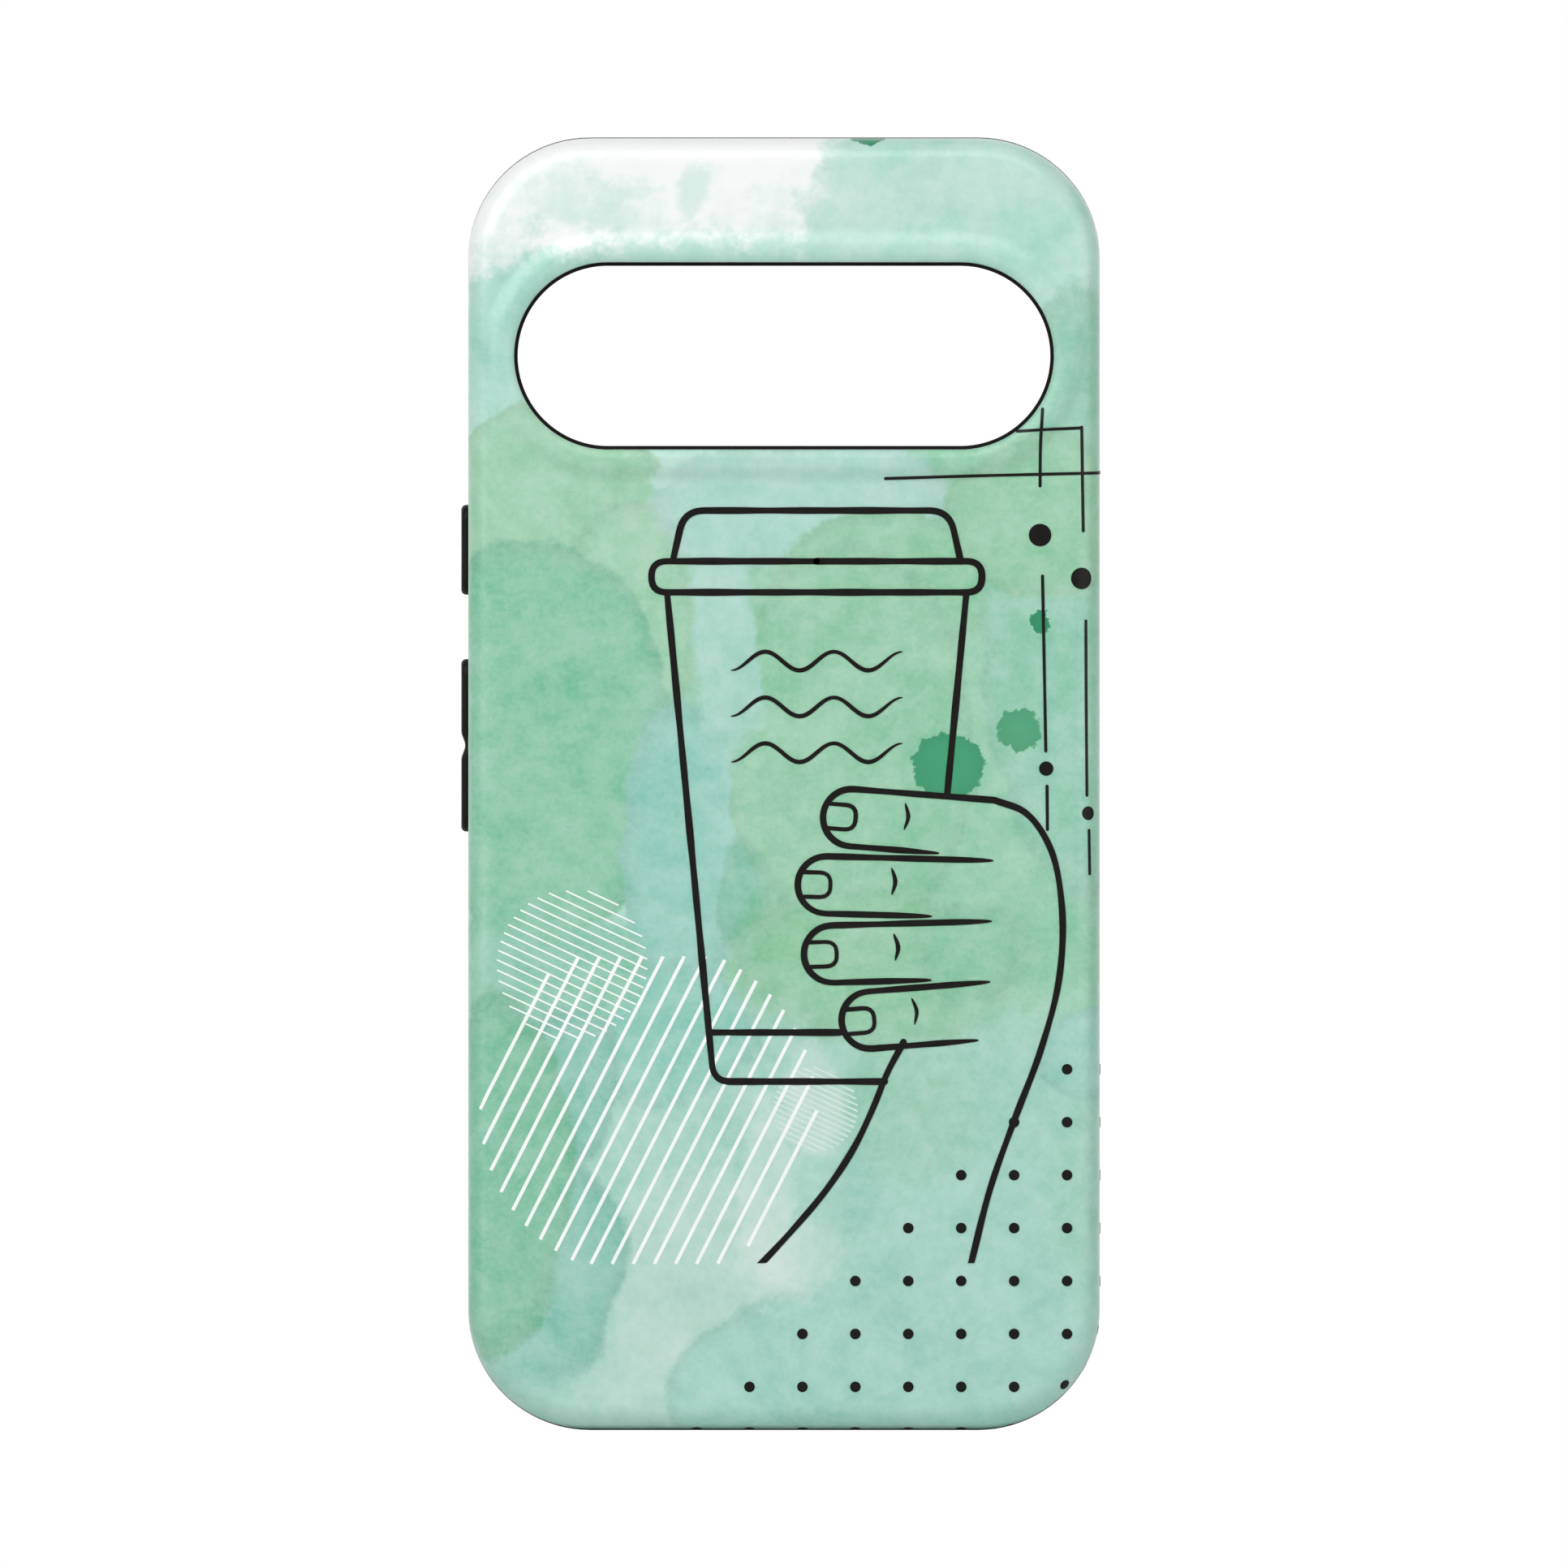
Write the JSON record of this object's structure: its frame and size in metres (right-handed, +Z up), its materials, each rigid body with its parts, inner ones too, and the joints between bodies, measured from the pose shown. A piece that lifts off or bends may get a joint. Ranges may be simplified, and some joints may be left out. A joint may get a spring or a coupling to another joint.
{
  "type": "phone case",
  "caption": "Two-layer phone case: hard glossy printed shell over a soft black liner, with a wide camera window, raised lips and button covers that travel.",
  "frame": {"origin": "bottom of the case, in the middle of its width and of its depth, the raised window lip included", "axes": "+Z runs up the case's length to the camera end, +Y points out of the open front where the screen shows, -Y out of the printed back, and the button covers are on the -X side"},
  "size_m": [0.0781, 0.0128, 0.158],
  "materials": {
    "printed_shell": "glossy hard plastic, printed all over with a green and mint watercolour wash and line art",
    "soft_liner": "satin black moulded thermoplastic rubber",
    "button_cover": "satin black moulded thermoplastic rubber",
    "button_web": "thin matt black moulded thermoplastic rubber",
    "line_ink": "black printed line art under a clear gloss coat",
    "white_ink": "white printed hatching under a clear gloss coat"
  },
  "bodies": {
    "liner": {"inner_liner": "soft_liner", "power_button_web": "button_web", "volume_button_web": "button_web"},
    "shell": {"outer_shell": "printed_shell"},
    "power_button": {"power_button_cover": "button_cover"},
    "volume_button": {"volume_button_cover": "button_cover"}
  },
  "joints": [
    {"name": "shell_lift_off", "type": "slide", "parent": "liner", "child": "shell", "axis": [0, -1, 0], "range_m": [0, 0.015]},
    {"name": "power_button_press", "type": "slide", "parent": "liner", "child": "power_button", "axis": [1, 0, 0], "range_m": [0, 0.0004], "stiffness_N_per_m": 6000, "deforming": ["power_button_web"]},
    {"name": "volume_button_rock", "type": "hinge", "parent": "liner", "child": "volume_button", "pos_m": [-0.0369, 0.00115, 0.0837], "axis": [0, 1, 0], "range_deg": [-2, 2], "stiffness_Nm_per_rad": 0.5, "deforming": ["volume_button_web"]}
  ]
}
